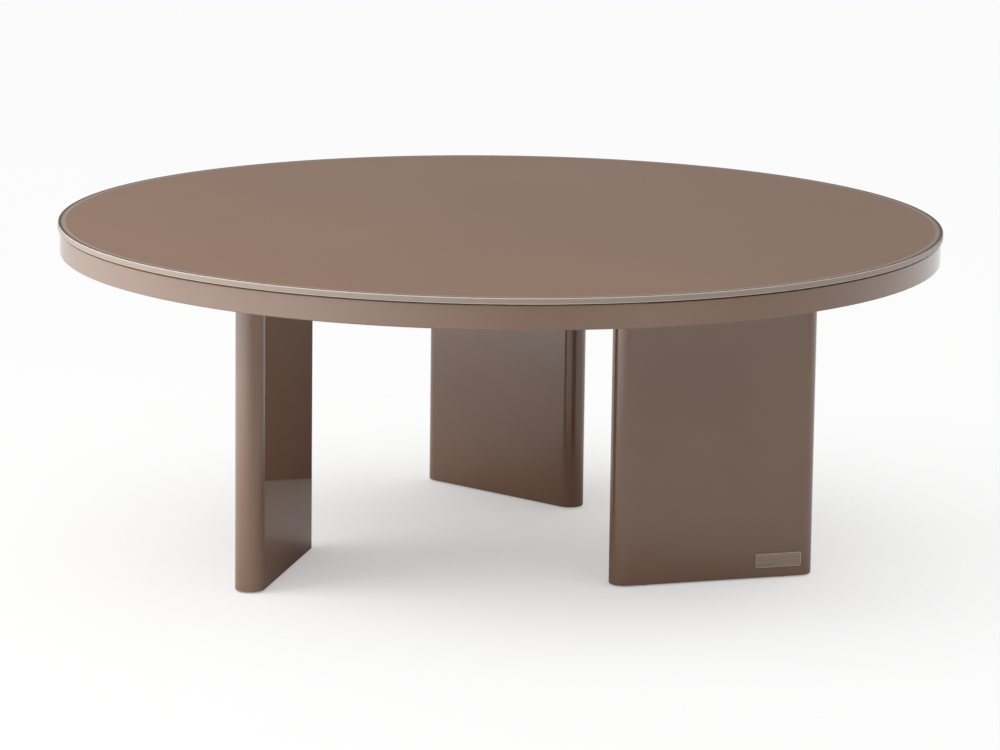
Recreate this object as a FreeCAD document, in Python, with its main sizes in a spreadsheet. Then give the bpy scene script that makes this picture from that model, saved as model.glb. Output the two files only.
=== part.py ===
import FreeCAD, Part
import math
import os
import Sketcher

# Round cocktail table: a glass disc on a lacquered panel, carried by three slab legs
# that stand as a pinwheel. Millimetres, +Z up, origin on the floor under the centre.
# The front leg runs along X, and the other two are turned about the centre.

SIZES = (
    ("glass_diameter", 1200, "glass disc, outer diameter"),
    ("glass_thickness", 8, "glass disc, thickness"),
    ("glass_arris", 1, "ground bevel on both rims of the glass"),
    ("pad_thickness", 1, "silicone pad, which is also the shadow gap"),
    ("pad_diameter", 40, "silicone pad, diameter"),
    ("pad_inset", 80, "rim of the glass to the centre of an outer pad"),
    ("inner_pad_radius", 180, "table centre to the centre of an inner pad"),
    ("glass_overhang", 2.5, "how far the glass stands past the panel"),
    ("panel_thickness", 32, "lacquered panel, thickness"),
    ("panel_arris", 1.5, "rounding on both rims of the panel"),
    ("leg_width", 286, "slab leg, over its round ends"),
    ("leg_thickness", 40, "slab leg, thickness"),
    ("leg_height", 411, "slab leg, height"),
    ("leg_arris", 1.5, "rounding round the foot of a leg"),
    ("leg_side_inset", 341, "square round the glass to the middle plane of a leg"),
    ("leg_end_inset", 239, "square round the glass to the outer end of a leg"),
    ("bolt_diameter", 8, "bolt shank"),
    ("bolt_head_diameter", 13, "cylindrical bolt head, diameter"),
    ("bolt_head_height", 8, "cylindrical bolt head, height"),
    ("bolt_socket_size", 6.9, "hexagon socket, across its corners"),
    ("bolt_socket_depth", 4, "hexagon socket, depth"),
    ("bolt_engagement", 21.4, "length of shank inside the leg"),
    ("bolt_end_distance", 48, "end of a leg to the outer bolt"),
    ("bolt_clearance", 0.4, "radial room of the shank in the panel"),
    ("washer_diameter", 18, "washer, outer diameter"),
    ("washer_thickness", 1.6, "washer, thickness"),
    ("washer_clearance", 0.2, "radial room of the shank in the washer"),
    ("counterbore_clearance", 1, "radial room of the washer in its counterbore"),
    ("head_recess", 0.8, "bolt head below the upper face of the panel"),
    ("insert_diameter", 14, "threaded insert, outer diameter"),
    ("insert_length", 25, "threaded insert, length"),
    ("insert_clearance", 0.05, "radial room of a thread or an insert in its hole"),
    ("dowel_diameter", 10, "wooden dowel, diameter"),
    ("dowel_in_panel", 18, "length of a dowel in the panel"),
    ("dowel_in_leg", 22, "length of a dowel in the leg"),
    ("dowel_chamfer", 1, "bevel on the ends of a dowel"),
    ("dowel_clearance", 0.1, "radial room of a dowel in its hole"),
    ("hole_relief", 2, "extra depth of a blind hole"),
    ("glide_diameter", 26, "nylon glide, diameter"),
    ("glide_seat", 3, "depth of a glide inside the leg"),
    ("glide_proud", 2, "height of a glide below the leg"),
    ("glide_chamfer", 0.8, "bevel on the lower rim of a glide"),
    ("glide_clearance", 0.1, "radial room of a glide in its seat"),
    ("glide_end_distance", 45, "end of a leg to the centre of a glide"),
    ("screw_diameter", 4, "glide screw, shank"),
    ("screw_head_diameter", 8, "glide screw, head"),
    ("screw_head_rim", 0.4, "straight rim of the countersunk head"),
    ("screw_head_recess", 0.8, "screw head above the floor"),
    ("screw_in_leg", 22, "length of screw inside the leg"),
    ("screw_point", 1.5, "bevel at the tip of the screw"),
    ("screw_clearance", 0.1, "radial room of a screw in its hole"),
    ("plate_length", 65, "metal plate, length"),
    ("plate_width", 19, "metal plate, height"),
    ("plate_thickness", 1.5, "metal plate, thickness"),
    ("plate_corner", 1.2, "metal plate, corner radius"),
    ("plate_lift", 14, "foot of the leg to the lower edge of the plate"),
    ("plate_end_margin", 1.5, "end of the leg's flat face to the plate"),
    ("stud_diameter", 3, "stud on the back of the plate"),
    ("stud_length", 7, "stud on the back of the plate, length"),
    ("stud_inset", 10, "end of the plate to a stud"),
    ("stud_clearance", 0.1, "radial room of a stud in its hole"),
)

# The legs, in even steps about the centre of the table
LEGS = ("leg_front", "leg_back", "leg_left")

OUTER_PADS = 12
INNER_PADS = 6

# Heights above the floor
PANEL_FOOT = "Sizes.glide_proud + Sizes.leg_height"
PANEL_FACE = PANEL_FOOT + " + Sizes.panel_thickness"
GLASS_FOOT = PANEL_FACE + " + Sizes.pad_thickness"

# The middle of the front leg: how far it stands before the centre, and to its right
LEG_OFFSET = "(Sizes.glass_diameter / 2 - Sizes.leg_side_inset)"
LEG_SHIFT = "(Sizes.glass_diameter / 2 - Sizes.leg_end_inset - Sizes.leg_width / 2)"

# Places along a leg, from its middle
BOLT_REACH = "(Sizes.leg_width / 2 - Sizes.bolt_end_distance)"
BOLT_ROW = ("-" + BOLT_REACH, "0", BOLT_REACH)
DOWEL_ROW = ("-" + BOLT_REACH + " / 2", BOLT_REACH + " / 2")
GLIDE_REACH = "(Sizes.leg_width / 2 - Sizes.glide_end_distance)"
GLIDE_ROW = ("-" + GLIDE_REACH, GLIDE_REACH)

# Depths and lengths that follow from what is fitted together
PANEL_RADIUS = "(Sizes.glass_diameter / 2 - Sizes.glass_overhang)"
COUNTERBORE = "(Sizes.head_recess + Sizes.bolt_head_height + Sizes.washer_thickness)"
SHANK = "(Sizes.washer_thickness + Sizes.panel_thickness - " + COUNTERBORE + " + Sizes.bolt_engagement)"
INSERT_HOLE = "max(Sizes.insert_length; Sizes.bolt_engagement) + Sizes.hole_relief"
HEAD_CONE = "(Sizes.screw_head_diameter - Sizes.screw_diameter) / 2"
COUNTERSINK_SLOPE = 45
GLIDE_THICKNESS = "(Sizes.glide_seat + Sizes.glide_proud)"
SCREW_LENGTH = "(" + GLIDE_THICKNESS + " - Sizes.screw_head_recess + Sizes.screw_in_leg)"

# The plate's middle on the outer face of the front leg
PLATE_ALONG = ("(Sizes.leg_width / 2 - Sizes.leg_thickness / 2"
               " - Sizes.plate_end_margin - Sizes.plate_length / 2)")
PLATE_UP = "(Sizes.plate_lift + Sizes.plate_width / 2)"
STUD_REACH = "(Sizes.plate_length / 2 - Sizes.stud_inset)"
STUD_ROW = ("-" + STUD_REACH, STUD_REACH)

UPWARD = FreeCAD.Vector(0, 0, 1)

doc = FreeCAD.newDocument("cocktail_table")
sheet = doc.addObject("Spreadsheet::Sheet", "Sizes")
for row, (alias, size, meaning) in enumerate(SIZES, 1):
    sheet.set(f"A{row}", alias)
    sheet.set(f"B{row}", str(size))
    sheet.set(f"C{row}", meaning)
    sheet.setAlias(f"B{row}", alias)
doc.recompute()


def number(expression):
    """The value that an expression has now."""
    return float(sheet.evalExpression(expression))


def new_body(label):
    """An empty body that may hold a group of like solids."""
    body = doc.addObject("PartDesign::Body", label)
    body.Label = label
    body.AllowCompound = True
    return body


def origin_of(body, role):
    """The body's own plane or axis with this role."""
    return next(item for item in body.Origin.OriginFeatures if item.Role == role)


def new_sketch(body, name, plane="XY_Plane", along="0", up="0", lift="0"):
    """A sketch on a plane of the body, moved in the plane and lifted off it."""
    sketch = body.newObject("Sketcher::SketchObject", name)
    sketch.AttachmentSupport = [(origin_of(body, plane), "")]
    sketch.MapMode = "FlatFace"
    for axis, distance in (("x", along), ("y", up), ("z", lift)):
        sketch.setExpression("AttachmentOffset.Base." + axis, distance)
    return sketch


def bind(sketch, expression, kind, *where):
    """Add a measuring constraint and bind it to an expression."""
    index = sketch.addConstraint(Sketcher.Constraint(kind, *where, number(expression)))
    sketch.setExpression(f"Constraints[{index}]", expression)


def add_circle(sketch, diameter, along="0"):
    """A circle centred on the sketch's X axis."""
    centre = FreeCAD.Vector(number(along), 0, 0)
    circle = sketch.addGeometry(Part.Circle(centre, UPWARD, number(diameter) / 2))
    sketch.addConstraint(Sketcher.Constraint("PointOnObject", circle, 3, -1))
    bind(sketch, along, "DistanceX", -1, 1, circle, 3)
    bind(sketch, diameter, "Diameter", circle)


def add_hexagon(sketch, size, along):
    """A regular hexagon, measured across its corners, centred on the sketch's X axis."""
    centre = FreeCAD.Vector(number(along), 0, 0)
    radius = number(size) / 2
    ring = sketch.addGeometry(Part.Circle(centre, UPWARD, radius), True)
    turns = [math.radians(60 * i) for i in range(6)]
    corners = [centre + FreeCAD.Vector(radius * math.cos(a), radius * math.sin(a), 0) for a in turns]
    sides = [sketch.addGeometry(Part.LineSegment(corners[i - 1], corners[i])) for i in range(6)]
    for i in range(6):
        sketch.addConstraint(Sketcher.Constraint("Coincident", sides[i - 1], 2, sides[i], 1))
        sketch.addConstraint(Sketcher.Constraint("PointOnObject", sides[i], 2, ring))
    for side in sides[1:]:
        sketch.addConstraint(Sketcher.Constraint("Equal", sides[0], side))
    for point in ((ring, 3), (sides[0], 2)):
        sketch.addConstraint(Sketcher.Constraint("PointOnObject", *point, -1))
    bind(sketch, along, "DistanceX", -1, 1, ring, 3)
    bind(sketch, size, "Diameter", ring)


def add_stadium(sketch, length, width):
    """An outline with two straight sides and two half-round ends, centred on the sketch."""
    end = number(width) / 2
    run = number(length) / 2 - end
    quarter = math.pi / 2
    right_circle = Part.Circle(FreeCAD.Vector(run, 0, 0), UPWARD, end)
    left_circle = Part.Circle(FreeCAD.Vector(-run, 0, 0), UPWARD, end)
    right = sketch.addGeometry(Part.ArcOfCircle(right_circle, -quarter, quarter))
    back = sketch.addGeometry(Part.LineSegment(FreeCAD.Vector(run, end, 0), FreeCAD.Vector(-run, end, 0)))
    left = sketch.addGeometry(Part.ArcOfCircle(left_circle, quarter, 3 * quarter))
    front = sketch.addGeometry(Part.LineSegment(FreeCAD.Vector(-run, -end, 0), FreeCAD.Vector(run, -end, 0)))
    for one, other in ((right, back), (back, left), (left, front), (front, right)):
        sketch.addConstraint(Sketcher.Constraint("Tangent", one, 2, other, 1))
    sketch.addConstraint(Sketcher.Constraint("PointOnObject", right, 3, -1))
    sketch.addConstraint(Sketcher.Constraint("Symmetric", left, 3, right, 3, -1, 1))
    bind(sketch, width + " / 2", "Radius", right)
    bind(sketch, length + " - " + width, "DistanceX", left, 3, right, 3)


def add_rectangle(sketch, length, width):
    """A rectangle centred on the sketch."""
    x = number(length) / 2
    y = number(width) / 2
    corners = [FreeCAD.Vector(*point, 0) for point in ((-x, -y), (x, -y), (x, y), (-x, y))]
    sides = [sketch.addGeometry(Part.LineSegment(corners[i], corners[(i + 1) % 4])) for i in range(4)]
    for i, direction in enumerate(("Horizontal", "Vertical", "Horizontal", "Vertical")):
        sketch.addConstraint(Sketcher.Constraint("Coincident", sides[i], 2, sides[(i + 1) % 4], 1))
        sketch.addConstraint(Sketcher.Constraint(direction, sides[i]))
    sketch.addConstraint(Sketcher.Constraint("Symmetric", sides[0], 1, sides[1], 2, -1, 1))
    bind(sketch, length, "DistanceX", sides[0], 1, sides[0], 2)
    bind(sketch, width, "DistanceY", sides[1], 1, sides[1], 2)


def row_sketch(body, name, diameter, places, **place):
    """A sketch with a row of equal circles."""
    sketch = new_sketch(body, name, **place)
    for along in places:
        add_circle(sketch, diameter, along)
    return sketch


def pad(body, sketch, length, downward=False):
    """Raise a sketch into a solid, or drop it below its plane."""
    feature = body.newObject("PartDesign::Pad", sketch.Label + "_pad")
    feature.Profile = sketch
    feature.setExpression("Length", length)
    feature.Reversed = downward
    doc.recompute()
    return feature


def pocket(body, sketch, depth, upward=False, taper=0):
    """Cut a sketch into the body below its plane, or above it, and see that it cuts."""
    before = body.Shape.Volume
    feature = body.newObject("PartDesign::Pocket", sketch.Label + "_pocket")
    feature.Profile = sketch
    feature.setExpression("Length", depth)
    feature.Reversed = upward
    feature.TaperAngle = taper
    doc.recompute()
    if not body.Shape.Volume < before:
        raise RuntimeError(sketch.Label + " cuts nothing")
    return feature


def edges_where(feature, test):
    """The names of the feature's edges that pass a test."""
    return [f"Edge{i}" for i, edge in enumerate(feature.Shape.Edges, 1) if test(edge)]


def dress(body, kind, size, test):
    """Round or bevel those edges of the body that pass a test."""
    base = body.Tip
    feature = body.newObject("PartDesign::" + kind, body.Label + "_" + kind)
    feature.Base = (base, edges_where(base, test))
    feature.setExpression("Radius" if kind == "Fillet" else "Size", size)
    doc.recompute()
    return feature


def level(expression):
    """A test for edges that lie flat at this height in their body."""
    height = number(expression)
    return lambda edge: all(abs(vertex.Z - height) < 1e-6 for vertex in edge.Vertexes)


def circle_at(expression, diameter):
    """A test for circular edges of this diameter at this height in their body."""
    flat = level(expression)
    radius = number(diameter) / 2
    return lambda edge: flat(edge) and abs(getattr(edge.Curve, "Radius", 0) - radius) < 1e-6


def turn_about_centre(body, features, count):
    """Repeat features evenly about the body's upright axis."""
    pattern = body.newObject("PartDesign::PolarPattern", body.Label + "_turned")
    pattern.Originals = features
    pattern.Axis = (origin_of(body, "Z_Axis"), [""])
    pattern.Angle = 360
    pattern.Occurrences = count
    body.Tip = pattern
    doc.recompute()


def lift(body, height):
    """Set a body on the table's axis at a height above the floor."""
    body.setExpression("Placement.Base.z", height)


def stand_on_leg(body, turn, height):
    """Set a body on the middle of a leg, turned with that leg, at a height above the floor."""
    body.Placement.Rotation = FreeCAD.Rotation(UPWARD, turn)
    body.setExpression("Placement.Base.x",
                       f"{LEG_SHIFT} * cos({turn} deg) + {LEG_OFFSET} * sin({turn} deg)")
    body.setExpression("Placement.Base.y",
                       f"{LEG_SHIFT} * sin({turn} deg) - {LEG_OFFSET} * cos({turn} deg)")
    body.setExpression("Placement.Base.z", height)


def make_glass():
    """Glass disc with a ground bevel on both rims."""
    body = new_body("glass_top")
    disc = row_sketch(body, "glass_disc", "Sizes.glass_diameter", ("0",))
    pad(body, disc, "Sizes.glass_thickness")
    dress(body, "Chamfer", "Sizes.glass_arris", lambda edge: len(edge.Vertexes) == 1)
    lift(body, GLASS_FOOT)


def make_glass_pads():
    """Two rings of clear silicone pads between the panel and the glass."""
    body = new_body("glass_pads")
    rings = (("outer_pad", "Sizes.glass_diameter / 2 - Sizes.pad_inset", OUTER_PADS),
             ("inner_pad", "Sizes.inner_pad_radius", INNER_PADS))
    for name, radius, count in rings:
        one = row_sketch(body, name, "Sizes.pad_diameter", (radius,))
        turn_about_centre(body, [pad(body, one, "Sizes.pad_thickness")], count)
    lift(body, PANEL_FACE)


def make_panel():
    """Round panel with counterbored bolt holes from above and dowel holes from below."""
    body = new_body("top_panel")
    disc = row_sketch(body, "panel_disc", "2 * " + PANEL_RADIUS, ("0",))
    pad(body, disc, "Sizes.panel_thickness")
    dress(body, "Fillet", "Sizes.panel_arris", lambda edge: len(edge.Vertexes) == 1)
    leg_place = {"along": LEG_SHIFT, "up": "-" + LEG_OFFSET}
    above = dict(leg_place, lift="Sizes.panel_thickness")
    bores = row_sketch(body, "panel_counterbores",
                       "Sizes.washer_diameter + 2 * Sizes.counterbore_clearance", BOLT_ROW, **above)
    holes = row_sketch(body, "panel_bolt_holes",
                       "Sizes.bolt_diameter + 2 * Sizes.bolt_clearance", BOLT_ROW, **above)
    dowels = row_sketch(body, "panel_dowel_holes",
                        "Sizes.dowel_diameter + 2 * Sizes.dowel_clearance", DOWEL_ROW, **leg_place)
    cuts = [pocket(body, bores, COUNTERBORE),
            pocket(body, holes, "Sizes.panel_thickness"),
            pocket(body, dowels, "Sizes.dowel_in_panel + Sizes.hole_relief", upward=True)]
    turn_about_centre(body, cuts, len(LEGS))
    lift(body, PANEL_FOOT)


def make_leg(label, turn, plated):
    """Slab leg with insert and dowel holes on top, and glide seats underneath."""
    body = new_body(label)
    outline = new_sketch(body, label + "_outline")
    add_stadium(outline, "Sizes.leg_width", "Sizes.leg_thickness")
    pad(body, outline, "Sizes.leg_height")
    dress(body, "Fillet", "Sizes.leg_arris", level("0"))
    inserts = row_sketch(body, label + "_insert_holes",
                         "Sizes.insert_diameter + 2 * Sizes.insert_clearance", BOLT_ROW,
                         lift="Sizes.leg_height")
    pocket(body, inserts, INSERT_HOLE)
    dowels = row_sketch(body, label + "_dowel_holes",
                        "Sizes.dowel_diameter + 2 * Sizes.dowel_clearance", DOWEL_ROW,
                        lift="Sizes.leg_height")
    pocket(body, dowels, "Sizes.dowel_in_leg + Sizes.hole_relief")
    seats = row_sketch(body, label + "_glide_seats",
                       "Sizes.glide_diameter + 2 * Sizes.glide_clearance", GLIDE_ROW)
    pocket(body, seats, "Sizes.glide_seat", upward=True)
    screws = row_sketch(body, label + "_screw_holes",
                        "Sizes.screw_diameter + 2 * Sizes.screw_clearance", GLIDE_ROW)
    pocket(body, screws, "Sizes.glide_seat + Sizes.screw_in_leg + Sizes.hole_relief", upward=True)
    if plated:
        studs = row_sketch(body, label + "_stud_holes",
                           "Sizes.stud_diameter + 2 * Sizes.stud_clearance", STUD_ROW,
                           plane="XZ_Plane", along=PLATE_ALONG, up=PLATE_UP,
                           lift="Sizes.leg_thickness / 2")
        pocket(body, studs, "Sizes.stud_length + Sizes.hole_relief")
    stand_on_leg(body, turn, "Sizes.glide_proud")


def make_bolts(leg, turn):
    """Cylinder-head bolts with hexagon sockets, from the panel into the leg."""
    body = new_body(leg + "_bolts")
    heads = row_sketch(body, body.Label + "_heads", "Sizes.bolt_head_diameter", BOLT_ROW)
    pad(body, heads, "Sizes.bolt_head_height")
    shanks = row_sketch(body, body.Label + "_shanks", "Sizes.bolt_diameter", BOLT_ROW)
    pad(body, shanks, SHANK, downward=True)
    sockets = new_sketch(body, body.Label + "_sockets", lift="Sizes.bolt_head_height")
    for along in BOLT_ROW:
        add_hexagon(sockets, "Sizes.bolt_socket_size", along)
    pocket(body, sockets, "Sizes.bolt_socket_depth")
    stand_on_leg(body, turn, PANEL_FACE + " - " + COUNTERBORE + " + Sizes.washer_thickness")


def make_washers(leg, turn):
    """Plain washers on the floors of the counterbores."""
    body = new_body(leg + "_washers")
    rings = row_sketch(body, body.Label + "_rings", "Sizes.washer_diameter", BOLT_ROW)
    for along in BOLT_ROW:
        add_circle(rings, "Sizes.bolt_diameter + 2 * Sizes.washer_clearance", along)
    pad(body, rings, "Sizes.washer_thickness")
    stand_on_leg(body, turn, PANEL_FACE + " - " + COUNTERBORE)


def make_inserts(leg, turn):
    """Threaded inserts, flush with the upper end of the leg."""
    body = new_body(leg + "_inserts")
    sleeves = row_sketch(body, body.Label + "_sleeves", "Sizes.insert_diameter", BOLT_ROW)
    for along in BOLT_ROW:
        add_circle(sleeves, "Sizes.bolt_diameter + 2 * Sizes.insert_clearance", along)
    pad(body, sleeves, "Sizes.insert_length", downward=True)
    stand_on_leg(body, turn, PANEL_FOOT)


def make_dowels(leg, turn):
    """Wooden dowels, from the leg up into the panel."""
    body = new_body(leg + "_dowels")
    length = "Sizes.dowel_in_leg + Sizes.dowel_in_panel"
    pins = row_sketch(body, body.Label + "_pins", "Sizes.dowel_diameter", DOWEL_ROW)
    pad(body, pins, length)
    dress(body, "Chamfer", "Sizes.dowel_chamfer", lambda edge: len(edge.Vertexes) == 1)
    stand_on_leg(body, turn, PANEL_FOOT + " - Sizes.dowel_in_leg")


def make_glides(leg, turn):
    """Nylon glides with a countersunk hole, standing on the floor."""
    body = new_body(leg + "_glides")
    discs = row_sketch(body, body.Label + "_discs", "Sizes.glide_diameter", GLIDE_ROW)
    pad(body, discs, GLIDE_THICKNESS)
    dress(body, "Chamfer", "Sizes.glide_chamfer", circle_at("0", "Sizes.glide_diameter"))
    mouth = "Sizes.screw_head_diameter + 2 * Sizes.screw_clearance"
    mouth_depth = "Sizes.screw_head_recess + Sizes.screw_head_rim"
    mouths = row_sketch(body, body.Label + "_mouths", mouth, GLIDE_ROW)
    pocket(body, mouths, mouth_depth, upward=True)
    cones = row_sketch(body, body.Label + "_cones", mouth, GLIDE_ROW, lift=mouth_depth)
    pocket(body, cones, HEAD_CONE, upward=True, taper=-COUNTERSINK_SLOPE)
    holes = row_sketch(body, body.Label + "_holes",
                       "Sizes.screw_diameter + 2 * Sizes.screw_clearance", GLIDE_ROW)
    pocket(body, holes, GLIDE_THICKNESS, upward=True)
    stand_on_leg(body, turn, "0")


def make_screws(leg, turn):
    """Countersunk screws, from the glides into the leg."""
    body = new_body(leg + "_glide_screws")
    heads = row_sketch(body, body.Label + "_heads", "Sizes.screw_head_diameter", GLIDE_ROW)
    cone_top = "Sizes.screw_head_rim + " + HEAD_CONE
    pad(body, heads, cone_top)
    dress(body, "Chamfer", HEAD_CONE, circle_at(cone_top, "Sizes.screw_head_diameter"))
    shanks = row_sketch(body, body.Label + "_shanks", "Sizes.screw_diameter", GLIDE_ROW)
    pad(body, shanks, SCREW_LENGTH)
    dress(body, "Chamfer", "Sizes.screw_point", circle_at(SCREW_LENGTH, "Sizes.screw_diameter"))
    stand_on_leg(body, turn, "Sizes.screw_head_recess")


def make_plate():
    """Bare metal plate on the outer face of the first leg, held by two studs on its back."""
    body = new_body("name_plate")
    place = {"plane": "XZ_Plane", "along": PLATE_ALONG, "up": PLATE_UP, "lift": "Sizes.leg_thickness / 2"}
    outline = new_sketch(body, "plate_outline", **place)
    add_rectangle(outline, "Sizes.plate_length", "Sizes.plate_width")
    pad(body, outline, "Sizes.plate_thickness")
    thickness = number("Sizes.plate_thickness")
    dress(body, "Fillet", "Sizes.plate_corner", lambda edge: abs(edge.BoundBox.YLength - thickness) < 1e-6)
    studs = row_sketch(body, "plate_studs", "Sizes.stud_diameter", STUD_ROW, **place)
    pad(body, studs, "Sizes.stud_length", downward=True)
    stand_on_leg(body, 0, "Sizes.glide_proud")


make_glass()
make_glass_pads()
make_panel()
make_plate()
for step, leg in enumerate(LEGS):
    turn = 360 * step / len(LEGS)
    make_leg(leg, turn, leg == LEGS[0])
    for make_hardware in (make_bolts, make_washers, make_inserts, make_dowels, make_glides, make_screws):
        make_hardware(leg, turn)
doc.recompute()

failed = [item.Label for item in doc.Objects if {"Invalid", "Error"} & set(item.State)]
bodies = [item for item in doc.Objects if item.TypeId == "PartDesign::Body"]
failed += [body.Label for body in bodies if body.Shape.isNull() or not body.Shape.isValid()]
if failed:
    raise RuntimeError("not built: " + ", ".join(failed))
os.makedirs("parts", exist_ok=True)
for body in bodies:
    body.Shape.exportStep(f"parts/{body.Label}.step")
    print(body.Label, len(body.Shape.Solids), "solids", round(body.Shape.Volume), "mm3")
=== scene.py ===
"""Round cocktail table: the finish of every piece, a plain stage and the camera."""

import math

import bmesh
import bpy
from mathutils import Matrix, Vector


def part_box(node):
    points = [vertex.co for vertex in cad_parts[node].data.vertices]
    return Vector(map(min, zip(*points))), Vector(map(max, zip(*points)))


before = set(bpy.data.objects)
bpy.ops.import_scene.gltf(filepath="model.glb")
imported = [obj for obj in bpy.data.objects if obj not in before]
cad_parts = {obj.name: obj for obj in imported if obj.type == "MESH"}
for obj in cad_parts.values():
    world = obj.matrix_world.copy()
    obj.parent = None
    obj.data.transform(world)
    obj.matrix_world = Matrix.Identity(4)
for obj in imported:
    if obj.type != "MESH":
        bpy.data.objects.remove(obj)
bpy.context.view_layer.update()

bl_info = {
    "name": "Round cocktail table",
    "version": (1, 0, 0),
    "blender": (4, 5, 0),
    "location": "3D View > Sidebar > Table",
    "description": "Finishes, stage and camera for a round glass-topped table on slab legs",
    "category": "Object",
}

GLASS_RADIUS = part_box("glass_top")[1].x
LEGS = ("leg_front", "leg_back", "leg_left")
MM = 0.001

# Widths of the patterns in the finishes, and lengths of those drawn out one way, in millimetres
PAINT_CLOUD = 300
WIPE_MARK = 120
LACQUER_CLOUD = 180
POLISH_MARK = 70
SPRAY_RIPPLE = 9
SCRATCH_WIDTH, SCRATCH_LENGTH = 0.6, 30
ZINC_MOTTLE = 3
LATHE_RING_WIDTH, LATHE_RING_LENGTH = 1, 10
FLECK_WIDTH, FLECK_LENGTH = 1.2, 15
NYLON_GRAIN = 0.8
SILICONE_HAZE = 4
BOARD_CLOUD = 900

# Heights of the relief in the finishes, in metres
RIPPLE_HEIGHT = 0.003 * MM
SCRATCH_DEPTH = 0.03 * MM
FLECK_DEPTH = 0.05 * MM
NYLON_GRAIN_DEPTH = 0.03 * MM

# Roughness of the finishes, from their smoothest spots to their roughest
MIRROR_SMOOTH = {"To Min": 0.03, "To Max": 0.07}
BRIGHT_METAL = {"To Min": 0.25, "To Max": 0.4}
SATIN = {"To Min": 0.3, "To Max": 0.45}
WAXY = {"To Min": 0.4, "To Max": 0.55}
GROUND_GLASS = 0.4
BARE_WOOD = 0.65
MATT_PAINT = 0.9
LACQUER_SPREAD = 0.02

# Most of a noise pattern lies between these values
MIDDLE = {"From Min": 0.3, "From Max": 0.7}

# How level a face of the glass is, from 0 upright to 1 flat, below which it is its edge or a bevel
EDGE_LEVEL, BEVEL_LEVEL = 0.35, 0.85

# Half of the width over which one ring near the rim of the glass gives way to the next, in metres
RING_BLUR = 0.4 * MM

# Side of a softbox, height of a card above the floor and reach of the table's shade, in metres
SOFTBOX_SIDE = 2.0
CARD_HEIGHT = 10 * MM
SHADE_REACH = 0.7

# How open the floor is to the sky, and the share of plain white that it then shows: in the open,
# and in the table's shade as the camera sees it and as gloss mirrors it
OPEN_FLOOR = {"From Max": 0.9, "To Max": 0.9}
SEEN_SHADE = {"From Min": 0.0, "To Min": 0.3}
MIRRORED_SHADE = {"From Min": 0.35, "To Min": 0.0}

# Sines of the elevations between which the light of the horizon gives way to that of the dome
HORIZON_TOP, DOME_FOOT = 0.25, 0.55

# The colour sockets of a Mix node, which share their names with its other sockets
FACTOR, FIRST, SECOND, MIXED = 0, 6, 7, 2


def linear(hex_colour):
    """An sRGB hex colour as linear red, green, blue and alpha."""
    channels = [int(hex_colour[i:i + 2], 16) / 255 for i in (1, 3, 5)]
    return [c / 12.92 if c <= 0.04045 else ((c + 0.055) / 1.055) ** 2.4 for c in channels] + [1.0]


def per_metre(millimetres):
    """The texture scale at which one feature of a pattern is this long."""
    return 1 / (millimetres * MM)


def set_inputs(node, inputs):
    """Set the sockets of a node to values, or link them to the outputs of other nodes."""
    for name, value in inputs.items():
        if isinstance(value, bpy.types.NodeSocket):
            node.id_data.links.new(value, node.inputs[name])
        else:
            node.inputs[name].default_value = value


def add_node(tree, kind, output, inputs=None, **settings):
    """Add a node with its settings and inputs, and return one of its outputs."""
    node = tree.nodes.new("ShaderNode" + kind)
    for name, value in settings.items():
        setattr(node, name, value)
    set_inputs(node, inputs or {})
    return node.outputs[output]


def new_material(name):
    """A material, its node tree and the place of a point in the table."""
    material = bpy.data.materials.new(name)
    material.use_nodes = True
    return material, material.node_tree, add_node(material.node_tree, "TexCoord", "Object")


def finish_material(material, inputs):
    """Set the inputs of a material's shader."""
    set_inputs(material.node_tree.nodes["Principled BSDF"], inputs)
    return material


def two_tones(tree, pattern, dark, light):
    """A colour that wanders between two tones as a noise pattern does."""
    share = add_node(tree, "MapRange", "Result", {"Value": pattern, **MIDDLE})
    return add_node(tree, "Mix", MIXED, {
        FACTOR: share, FIRST: dark, SECOND: light}, data_type="RGBA")


def dress(node, material):
    """Give a CAD node its material."""
    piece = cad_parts[node]
    piece.data.materials.clear()
    piece.data.materials.append(material)


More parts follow.
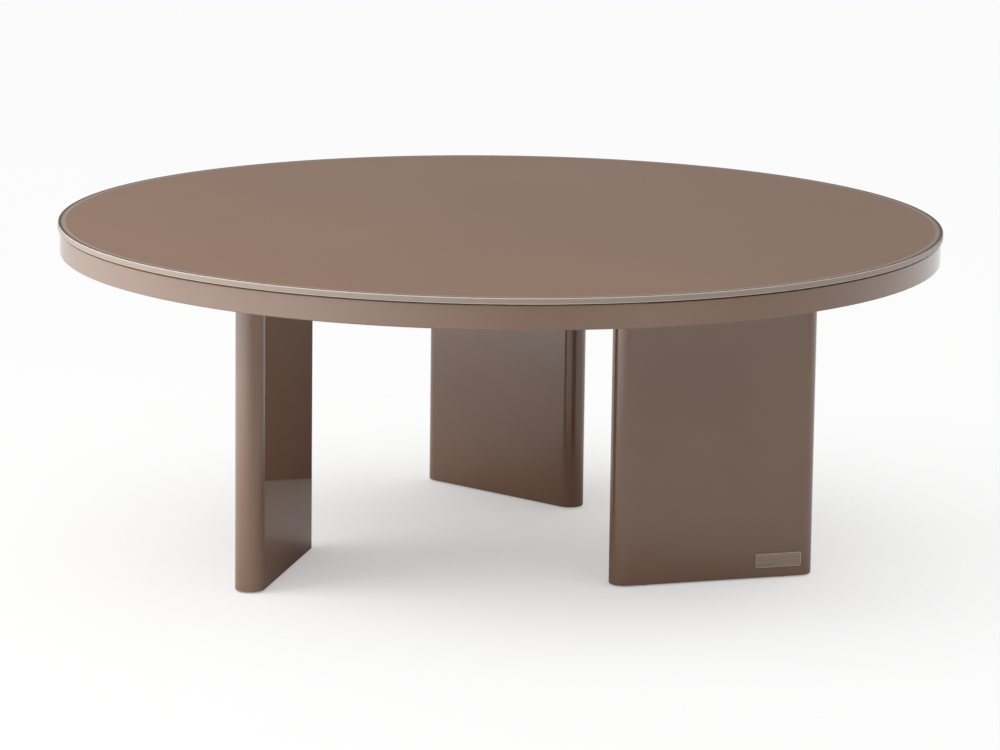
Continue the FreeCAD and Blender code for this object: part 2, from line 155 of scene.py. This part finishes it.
def back_painted_glass(look):
    """Clear float glass with paint on its underside and a finely ground rim: an even colour under a
    mirror-smooth face, a band where the paint stops short of the rim whose paleness is painted
    light, a painted shadow line where the bevel bends the light away, and a satin edge that is
    partly pale ground glass and partly painted light, with bevels painted bright as highlights."""
    material, tree, place = new_material("back_painted_float_glass")
    cloud = add_node(tree, "TexNoise", "Fac", {"Vector": place, "Scale": per_metre(PAINT_CLOUD)})
    colour = two_tones(tree, cloud, look.paint_dark, look.paint_light)
    flat = add_node(tree, "VectorMath", "Vector", {0: place, 1: (1, 1, 0)}, operation="MULTIPLY")
    radius = add_node(tree, "VectorMath", "Value", {0: flat}, operation="LENGTH")
    # Rings inside the rim: a band whose pale tone is painted light seen through the unpainted
    # glass, then a line of painted shadow where the bevel bends the light away
    for width, tone in ((look.clear_band, look.clear_band_painted_light), (look.rim_line, look.rim_shadow)):
        start = GLASS_RADIUS - width
        in_ring = add_node(tree, "MapRange", "Result", {
            "Value": radius, "From Min": start - RING_BLUR, "From Max": start + RING_BLUR})
        colour = add_node(tree, "Mix", MIXED, {
            FACTOR: in_ring, FIRST: colour, SECOND: tone}, data_type="RGBA")
    normal = add_node(tree, "NewGeometry", "True Normal")
    tilt = add_node(tree, "VectorMath", "Value", {
        0: normal, 1: (0, 0, 1)}, operation="DOT_PRODUCT")
    level = add_node(tree, "Math", 0, {0: tilt}, operation="ABSOLUTE")
    # Paler tones for the steep faces: the bevels a painted highlight, the edge partly its ground
    # glass tone and partly painted light from inside the glass
    for limit, tone in ((BEVEL_LEVEL, look.bevel_painted_highlight), (EDGE_LEVEL, look.glass_edge_and_painted_light)):
        steep = add_node(tree, "Math", 0, {0: level, 1: limit}, operation="LESS_THAN")
        colour = add_node(tree, "Mix", MIXED, {
            FACTOR: steep, FIRST: colour, SECOND: tone}, data_type="RGBA")
    wiped = add_node(tree, "TexNoise", "Fac", {
        "Vector": place, "Scale": per_metre(WIPE_MARK), "Detail": 4})
    face = add_node(tree, "MapRange", "Result", {"Value": wiped, **MIDDLE, **MIRROR_SMOOTH})
    roughness = add_node(tree, "MapRange", "Result", {
        "Value": level, "From Min": EDGE_LEVEL, "From Max": BEVEL_LEVEL,
        "To Min": GROUND_GLASS, "To Max": face})
    return finish_material(material, {
        "Base Color": colour, "Roughness": roughness, "IOR": 1.52})


def taupe_lacquer(look):
    """Sprayed and polished lacquer on fibreboard: an even taupe that mirrors softly, with a
    faint cloudiness and the shallow ripple that spraying leaves."""
    material, tree, place = new_material("taupe_spray_lacquer")
    cloud = add_node(tree, "TexNoise", "Fac", {"Vector": place, "Scale": per_metre(LACQUER_CLOUD)})
    colour = two_tones(tree, cloud, look.lacquer_dark, look.lacquer_light)
    rubbed = add_node(tree, "TexNoise", "Fac", {"Vector": place, "Scale": per_metre(POLISH_MARK)})
    roughness = add_node(tree, "MapRange", "Result", {
        "Value": rubbed, **MIDDLE,
        "To Min": look.lacquer_roughness - LACQUER_SPREAD,
        "To Max": look.lacquer_roughness + LACQUER_SPREAD})
    ripple = add_node(tree, "TexNoise", "Fac", {
        "Vector": place, "Scale": per_metre(SPRAY_RIPPLE), "Detail": 1})
    relief = add_node(tree, "Bump", "Normal", {"Height": ripple, "Distance": RIPPLE_HEIGHT})
    return finish_material(material, {
        "Base Color": colour, "Roughness": roughness, "IOR": 1.55, "Normal": relief})


def brushed_plate(look):
    """Bronze-toned metal, brushed: scratches along the plate that draw out its highlights, and a
    painted highlight, a bright line round its cut rim. Real scratches are too fine to show, so
    these are wider."""
    material, tree, place = new_material("brushed_bronze")
    along = add_node(tree, "Mapping", "Vector", {
        "Vector": place, "Scale": (SCRATCH_WIDTH / SCRATCH_LENGTH, 1, 1)})
    scratches = add_node(tree, "TexNoise", "Fac", {
        "Vector": along, "Scale": per_metre(SCRATCH_WIDTH), "Detail": 3})
    colour = two_tones(tree, scratches, look.plate_dark, look.plate_light)
    # Painted highlight: a bright line round the rim of the plate
    low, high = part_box("name_plate")
    for axis, start, end in (("X", low.x, high.x), ("Z", low.z, high.z)):
        middle = (start + end) / 2
        reach = end - middle - look.plate_rim
        where = add_node(tree, "SeparateXYZ", axis, {"Vector": place})
        offset = add_node(tree, "Math", 0, {0: where, 1: middle}, operation="SUBTRACT")
        from_middle = add_node(tree, "Math", 0, {0: offset}, operation="ABSOLUTE")
        in_rim = add_node(tree, "Math", 0, {0: from_middle, 1: reach}, operation="GREATER_THAN")
        colour = add_node(tree, "Mix", MIXED, {
            FACTOR: in_rim, FIRST: colour, SECOND: look.plate_rim_painted_highlight}, data_type="RGBA")
    roughness = add_node(tree, "MapRange", "Result", {"Value": scratches, **MIDDLE, **SATIN})
    relief = add_node(tree, "Bump", "Normal", {"Height": scratches, "Distance": SCRATCH_DEPTH})
    return finish_material(material, {
        "Base Color": colour, "Metallic": 1.0, "Roughness": roughness, "Normal": relief})


def zinc_steel():
    """Steel, zinc plated: a pale grey metal with a faintly mottled plating."""
    material, tree, place = new_material("zinc_plated_steel")
    mottle = add_node(tree, "TexNoise", "Fac", {
        "Vector": place, "Scale": per_metre(ZINC_MOTTLE), "Detail": 3})
    colour = two_tones(tree, mottle, linear("#a3a6aa"), linear("#c6c8cb"))
    roughness = add_node(tree, "MapRange", "Result", {"Value": mottle, **MIDDLE, **BRIGHT_METAL})
    return finish_material(material, {
        "Base Color": colour, "Metallic": 1.0, "Roughness": roughness})


def turned_brass():
    """Brass, turned: a yellow metal with rings from the lathe tool, drawn coarser than real ones,
    which are too fine to show."""
    material, tree, place = new_material("turned_brass")
    flattening = LATHE_RING_WIDTH / LATHE_RING_LENGTH
    across = add_node(tree, "Mapping", "Vector", {
        "Vector": place, "Scale": (flattening, flattening, 1)})
    rings = add_node(tree, "TexNoise", "Fac", {
        "Vector": across, "Scale": per_metre(LATHE_RING_WIDTH)})
    colour = two_tones(tree, rings, linear("#b08d45"), linear("#d1b26b"))
    roughness = add_node(tree, "MapRange", "Result", {"Value": rings, **MIDDLE, **BRIGHT_METAL})
    return finish_material(material, {
        "Base Color": colour, "Metallic": 1.0, "Roughness": roughness})


def raw_beech():
    """Beech, turned and left raw: a pale pinkish wood with short flecks along the grain."""
    material, tree, place = new_material("raw_beech")
    along = add_node(tree, "Mapping", "Vector", {
        "Vector": place, "Scale": (1, 1, FLECK_WIDTH / FLECK_LENGTH)})
    grain = add_node(tree, "TexNoise", "Fac", {
        "Vector": along, "Scale": per_metre(FLECK_WIDTH), "Detail": 4})
    colour = two_tones(tree, grain, linear("#b98c5f"), linear("#d8b48a"))
    relief = add_node(tree, "Bump", "Normal", {"Height": grain, "Distance": FLECK_DEPTH})
    return finish_material(material, {
        "Base Color": colour, "Roughness": BARE_WOOD, "Normal": relief})


def moulded_nylon():
    """Nylon, moulded: a dark, slightly waxy plastic with the grain of its mould, drawn coarser
    than a real one, which is too fine to show."""
    material, tree, place = new_material("moulded_nylon")
    grain = add_node(tree, "TexNoise", "Fac", {"Vector": place, "Scale": per_metre(NYLON_GRAIN)})
    colour = two_tones(tree, grain, linear("#1d1a18"), linear("#2b2724"))
    roughness = add_node(tree, "MapRange", "Result", {"Value": grain, **MIDDLE, **WAXY})
    relief = add_node(tree, "Bump", "Normal", {"Height": grain, "Distance": NYLON_GRAIN_DEPTH})
    return finish_material(material, {
        "Base Color": colour, "Roughness": roughness, "IOR": 1.53, "Normal": relief})


def clear_silicone():
    """Silicone, die cut: a milky rubber with a faint haze."""
    material, tree, place = new_material("die_cut_silicone")
    haze = add_node(tree, "TexNoise", "Fac", {"Vector": place, "Scale": per_metre(SILICONE_HAZE)})
    colour = two_tones(tree, haze, linear("#c9cac6"), linear("#dfe0dc"))
    roughness = add_node(tree, "MapRange", "Result", {"Value": haze, **MIDDLE, **SATIN})
    return finish_material(material, {
        "Base Color": colour, "Roughness": roughness, "IOR": 1.41})


def colour_property(name, description, hex_colour):
    """A colour that the user can pick."""
    return bpy.props.FloatVectorProperty(
        name=name, description=description, default=linear(hex_colour),
        size=4, min=0, max=1, subtype="COLOR")


class TableLook(bpy.types.PropertyGroup):
    """Colours and gloss of the table's surfaces."""

    paint_dark: colour_property(
        "Paint, dark", "Darker tone of the paint under the glass", "#997359")
    paint_light: colour_property(
        "Paint, light", "Lighter tone of the paint under the glass", "#9d775d")
    # Painted light: the pale tone of the unpainted band stands in for light seen through the clear
    # glass
    clear_band_painted_light: colour_property(
        "Clear glass", "Band of glass with no paint under it", "#ab9487")
    # Painted shadow: the dark line stands in for where the bevel bends the light away
    rim_shadow: colour_property(
        "Rim line", "Thin dark line inside the bevel of the glass", "#54483e")
    # Partly the ground edge's own tone, partly painted light from inside the glass
    glass_edge_and_painted_light: colour_property(
        "Glass edge", "Satin edge of the glass", "#a39489")
    # Painted highlight: the bevels are made paler to stand in for the light they catch
    bevel_painted_highlight: colour_property(
        "Glass bevel", "Ground bevels on the rims of the glass", "#d8c8bb")
    clear_band: bpy.props.FloatProperty(
        name="Clear band", description="Rim of the glass to the paint",
        default=10.5 * MM, unit="LENGTH")
    rim_line: bpy.props.FloatProperty(
        name="Rim line width", description="Rim of the glass to the inside of its dark line",
        default=5.0 * MM, unit="LENGTH")
    lacquer_dark: colour_property(
        "Lacquer, dark", "Darker tone of the lacquer", "#846654")
    lacquer_light: colour_property(
        "Lacquer, light", "Lighter tone of the lacquer", "#896b58")
    lacquer_roughness: bpy.props.FloatProperty(
        name="Lacquer roughness", description="Roughness of the lacquer",
        default=0.06, min=0, max=1, subtype="FACTOR")
    plate_dark: colour_property(
        "Plate, dark", "Darker tone of the brushed plate", "#8b7b6c")
    plate_light: colour_property(
        "Plate, light", "Lighter tone of the brushed plate", "#a69686")
    # Painted highlight: the bright line stands in for the light the plate's cut rim catches
    plate_rim_painted_highlight: colour_property(
        "Plate rim", "Bright line round the plate", "#bfb2a2")
    plate_rim: bpy.props.FloatProperty(
        name="Plate rim width", description="Width of the bright line round the plate",
        default=0.8 * MM, unit="LENGTH")


class TableStage(bpy.types.PropertyGroup):
    """Floor, light and camera."""

    floor_size: bpy.props.FloatProperty(
        name="Floor size", description="Side of the square floor",
        default=60.0, unit="LENGTH")
    floor_colour: colour_property(
        "Floor colour", "Colour of the pale floor", "#f7f6f4")
    horizon_light: colour_property(
        "Horizon light", "Light from low down, all round", "#808080")
    dome_light: colour_property(
        "Dome light", "Light from overhead", "#dddddd")
    side_power: bpy.props.FloatProperty(
        name="Side softbox", description="Power of the softbox to the left",
        default=52.0, unit="POWER")
    front_power: bpy.props.FloatProperty(
        name="Front softbox", description="Power of the softbox in front",
        default=8.0, unit="POWER")
    side_card_power: bpy.props.FloatProperty(
        name="Side card", description="Power of the card on the floor to the left",
        default=235.0, unit="POWER")
    front_card_power: bpy.props.FloatProperty(
        name="Front card", description="Power of the card on the floor in front",
        default=8.0, unit="POWER")
    right_card_power: bpy.props.FloatProperty(
        name="Right card", description="Power of the card on the floor to the right",
        default=24.0, unit="POWER")
    camera_azimuth: bpy.props.FloatProperty(
        name="Azimuth", description="Turn of the camera about the table, from the front",
        default=math.radians(-17.93), subtype="ANGLE")
    camera_elevation: bpy.props.FloatProperty(
        name="Elevation", description="Height of the camera above the horizon",
        default=math.radians(11.09), subtype="ANGLE")
    camera_roll: bpy.props.FloatProperty(
        name="Roll", description="Turn of the camera about its own line of sight",
        default=math.radians(0.74), subtype="ANGLE")
    camera_distance: bpy.props.FloatProperty(
        name="Distance", description="Camera to the point it looks at",
        default=6.539, unit="LENGTH")
    camera_target: bpy.props.FloatVectorProperty(
        name="Target", description="Point that the camera looks at",
        default=(0.0018, -0.0006, 0.2396), unit="LENGTH")
    camera_lens: bpy.props.FloatProperty(
        name="Lens", description="Focal length",
        default=172.0, unit="CAMERA")


def direction(azimuth, elevation):
    """The way from the table to a place at this azimuth, from the front, and elevation."""
    return Vector((math.sin(azimuth) * math.cos(elevation),
                   -math.cos(azimuth) * math.cos(elevation),
                   math.sin(elevation)))


def add_lamp(name, power, size):
    """A rectangular lamp at the origin that shines down, and that the camera doesn't see."""
    lamp = bpy.data.lights.new(name, "AREA")
    lamp.energy = power
    lamp.shape = "RECTANGLE"
    lamp.size, lamp.size_y = size
    lamp_object = bpy.data.objects.new(name, lamp)
    lamp_object.visible_camera = False
    bpy.context.scene.collection.objects.link(lamp_object)
    return lamp_object


def add_softbox(name, power, azimuth, elevation, distance):
    """A softbox that faces the table; it lights, but doesn't show in the gloss."""
    box = add_lamp(name, power, (SOFTBOX_SIDE, SOFTBOX_SIDE))
    way = direction(azimuth, elevation)
    box.location = way * distance
    box.rotation_euler = way.to_track_quat("Z", "Y").to_euler()
    box.visible_glossy = False


def add_card(name, power, azimuth, distance, size):
    """A bright card that lies on the floor beside the table and shows only in the gloss. It is
    brightest in its middle, and fades out to its ends and sides. Its size is its length away from
    the table and its width across that."""
    card = add_lamp(name, power, size)
    card.location = direction(azimuth, 0) * distance + Vector((0, 0, CARD_HEIGHT))
    card.rotation_euler = (math.radians(180), 0, azimuth - math.radians(90))
    card.visible_diffuse = False
    card.data.use_nodes = True
    tree = card.data.node_tree
    # A point's place on a lamp runs from 0 to 1 each way
    place = add_node(tree, "NewGeometry", "Parametric")
    half = 0.5
    strength = 1.0
    for axis in "XY":
        along = add_node(tree, "SeparateXYZ", axis, {"Vector": place})
        offset = add_node(tree, "Math", 0, {0: along, 1: half}, operation="SUBTRACT")
        from_middle = add_node(tree, "Math", 0, {0: offset}, operation="ABSOLUTE")
        strength = add_node(tree, "MapRange", "Result", {
            "Value": from_middle, "From Min": 0.0, "From Max": half,
            "To Min": strength, "To Max": 0.0}, interpolation_type="SMOOTHSTEP")
    set_inputs(tree.nodes["Emission"], {"Strength": strength})


class TABLE_OT_glass_top(bpy.types.Operator):
    """Finish the glass disc and the pads under it"""

    bl_idname = "table.glass_top"
    bl_label = "Glass top"

    def execute(self, context):
        dress("glass_top", back_painted_glass(context.scene.table_look))
        dress("glass_pads", clear_silicone())
        return {"FINISHED"}


class TABLE_OT_lacquered_wood(bpy.types.Operator):
    """Finish the panel and the legs"""

    bl_idname = "table.lacquered_wood"
    bl_label = "Panel and legs"

    def execute(self, context):
        lacquer = taupe_lacquer(context.scene.table_look)
        for node in ("top_panel", *LEGS):
            dress(node, lacquer)
        return {"FINISHED"}


class TABLE_OT_plate(bpy.types.Operator):
    """Finish the small metal plate on the front leg"""

    bl_idname = "table.plate"
    bl_label = "Metal plate"

    def execute(self, context):
        dress("name_plate", brushed_plate(context.scene.table_look))
        return {"FINISHED"}


class TABLE_OT_hardware(bpy.types.Operator):
    """Finish the bolts, washers, inserts, dowels, glides and screws"""

    bl_idname = "table.hardware"
    bl_label = "Hardware"

    def execute(self, context):
        steel = zinc_steel()
        finishes = {
            "bolts": steel,
            "washers": steel,
            "glide_screws": steel,
            "inserts": turned_brass(),
            "dowels": raw_beech(),
            "glides": moulded_nylon(),
        }
        for leg in LEGS:
            for piece, material in finishes.items():
                dress(f"{leg}_{piece}", material)
        return {"FINISHED"}


class TABLE_OT_stage(bpy.types.Operator):
    """Set up the floor, the light and the camera"""

    bl_idname = "table.stage"
    bl_label = "Stage"

    def execute(self, context):
        stage = context.scene.table_stage
        self.add_floor(context.scene, stage)
        self.set_world(context.scene, stage)
        self.add_lamps(stage)
        self.add_camera(context.scene, stage)
        context.scene.view_settings.view_transform = "Standard"
        return {"FINISHED"}

    def add_floor(self, scene, stage):
        """Painted board, matt: a pale floor that shows as nearly white, with the table's shadow.
        Part of what is seen or mirrored of it is plain white, least where the table shades it."""
        material, tree, place = new_material("matt_white_board")
        tone = add_node(tree, "TexNoise", "Fac", {"Vector": place, "Scale": per_metre(BOARD_CLOUD)})
        colour = two_tones(tree, tone, stage.floor_colour, linear("#ffffff"))
        finish_material(material, {"Base Color": colour, "Roughness": MATT_PAINT})
        paths = tree.nodes.new("ShaderNodeLightPath").outputs
        mirrored = add_node(tree, "Math", 0, {
            0: paths["Is Glossy Ray"], 1: paths["Is Transmission Ray"]}, operation="MAXIMUM")
        openness = add_node(tree, "AmbientOcclusion", "AO", {"Distance": SHADE_REACH}, samples=8)
        share = 0.0
        for seen, shade in ((paths["Is Camera Ray"], SEEN_SHADE), (mirrored, MIRRORED_SHADE)):
            white_share = add_node(tree, "MapRange", "Result", {
                "Value": openness, **shade, **OPEN_FLOOR})
            share = add_node(tree, "Math", 0, {
                0: seen, 1: white_share, 2: share}, operation="MULTIPLY_ADD")
        white = add_node(tree, "Emission", 0, {"Color": linear("#ffffff"), "Strength": 1.0})
        matt = tree.nodes["Principled BSDF"].outputs[0]
        board = add_node(tree, "MixShader", 0, {0: share, 1: matt, 2: white})
        set_inputs(tree.nodes["Material Output"], {"Surface": board})
        mesh = bpy.data.meshes.new("floor")
        shape = bmesh.new()
        bmesh.ops.create_grid(shape, x_segments=1, y_segments=1, size=stage.floor_size / 2)
        shape.to_mesh(mesh)
        shape.free()
        mesh.materials.append(material)
        floor = bpy.data.objects.new("floor", mesh)
        scene.collection.objects.link(floor)

    def set_world(self, scene, stage):
        """A pale dome that is dimmer near the horizon."""
        world = bpy.data.worlds.new("studio")
        world.use_nodes = True
        tree = world.node_tree
        place = add_node(tree, "TexCoord", "Generated")
        height = add_node(tree, "SeparateXYZ", "Z", {"Vector": place})
        rise = add_node(tree, "MapRange", "Result", {
            "Value": height, "From Min": HORIZON_TOP, "From Max": DOME_FOOT},
            interpolation_type="SMOOTHSTEP")
        colour = add_node(tree, "Mix", MIXED, {
            FACTOR: rise, FIRST: stage.horizon_light, SECOND: stage.dome_light}, data_type="RGBA")
        set_inputs(tree.nodes["Background"], {"Color": colour, "Strength": 1.0})
        scene.world = world

    def add_lamps(self, stage):
        """Softboxes to the left and in front, and cards to the left, in front and to the right, at
        angles from the camera's own."""
        to_camera = stage.camera_azimuth
        add_softbox("side_softbox", stage.side_power,
                    azimuth=to_camera - math.radians(72), elevation=math.radians(39), distance=3.0)
        add_softbox("front_softbox", stage.front_power,
                    azimuth=to_camera - math.radians(15), elevation=math.radians(8), distance=4.0)
        add_card("side_card", stage.side_card_power,
                 azimuth=to_camera - math.radians(68), distance=2.3, size=(4.0, 7.5))
        add_card("front_card", stage.front_card_power,
                 azimuth=to_camera + math.radians(38), distance=2.6, size=(3.0, 2.5))
        add_card("right_card", stage.right_card_power,
                 azimuth=to_camera + math.radians(110), distance=2.3, size=(3.4, 5.0))

    def add_camera(self, scene, stage):
        """A long lens at the photograph's angle."""
        lens = bpy.data.cameras.new("camera")
        lens.lens = stage.camera_lens
        lens.clip_end = stage.floor_size
        camera = bpy.data.objects.new("camera", lens)
        back = direction(stage.camera_azimuth, stage.camera_elevation)
        turn = back.to_track_quat("Z", "Y").to_matrix().to_4x4()
        roll = Matrix.Rotation(stage.camera_roll, 4, "Z")
        place = Vector(stage.camera_target) + back * stage.camera_distance
        camera.matrix_world = Matrix.Translation(place) @ turn @ roll
        scene.collection.objects.link(camera)
        scene.camera = camera


class TABLE_PT_sidebar(bpy.types.Panel):
    """Buttons for each step and the values that they use"""

    bl_idname = "TABLE_PT_sidebar"
    bl_label = "Round table"
    bl_space_type = "VIEW_3D"
    bl_region_type = "UI"
    bl_category = "Table"

    def draw(self, context):
        for operator in STEPS:
            self.layout.operator(operator.bl_idname)
        for group in (context.scene.table_look, context.scene.table_stage):
            for name in group.__annotations__:
                self.layout.prop(group, name)


STEPS = (
    TABLE_OT_glass_top,
    TABLE_OT_lacquered_wood,
    TABLE_OT_plate,
    TABLE_OT_hardware,
    TABLE_OT_stage,
)
CLASSES = (TableLook, TableStage, *STEPS, TABLE_PT_sidebar)


def register():
    for cls in CLASSES:
        bpy.utils.register_class(cls)
    bpy.types.Scene.table_look = bpy.props.PointerProperty(type=TableLook)
    bpy.types.Scene.table_stage = bpy.props.PointerProperty(type=TableStage)


def unregister():
    del bpy.types.Scene.table_stage
    del bpy.types.Scene.table_look
    for cls in reversed(CLASSES):
        bpy.utils.unregister_class(cls)


def main():
    """Register the add-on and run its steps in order."""
    register()
    bpy.ops.table.glass_top()
    bpy.ops.table.lacquered_wood()
    bpy.ops.table.plate()
    bpy.ops.table.hardware()
    bpy.ops.table.stage()


if __name__ == "__main__":
    main()
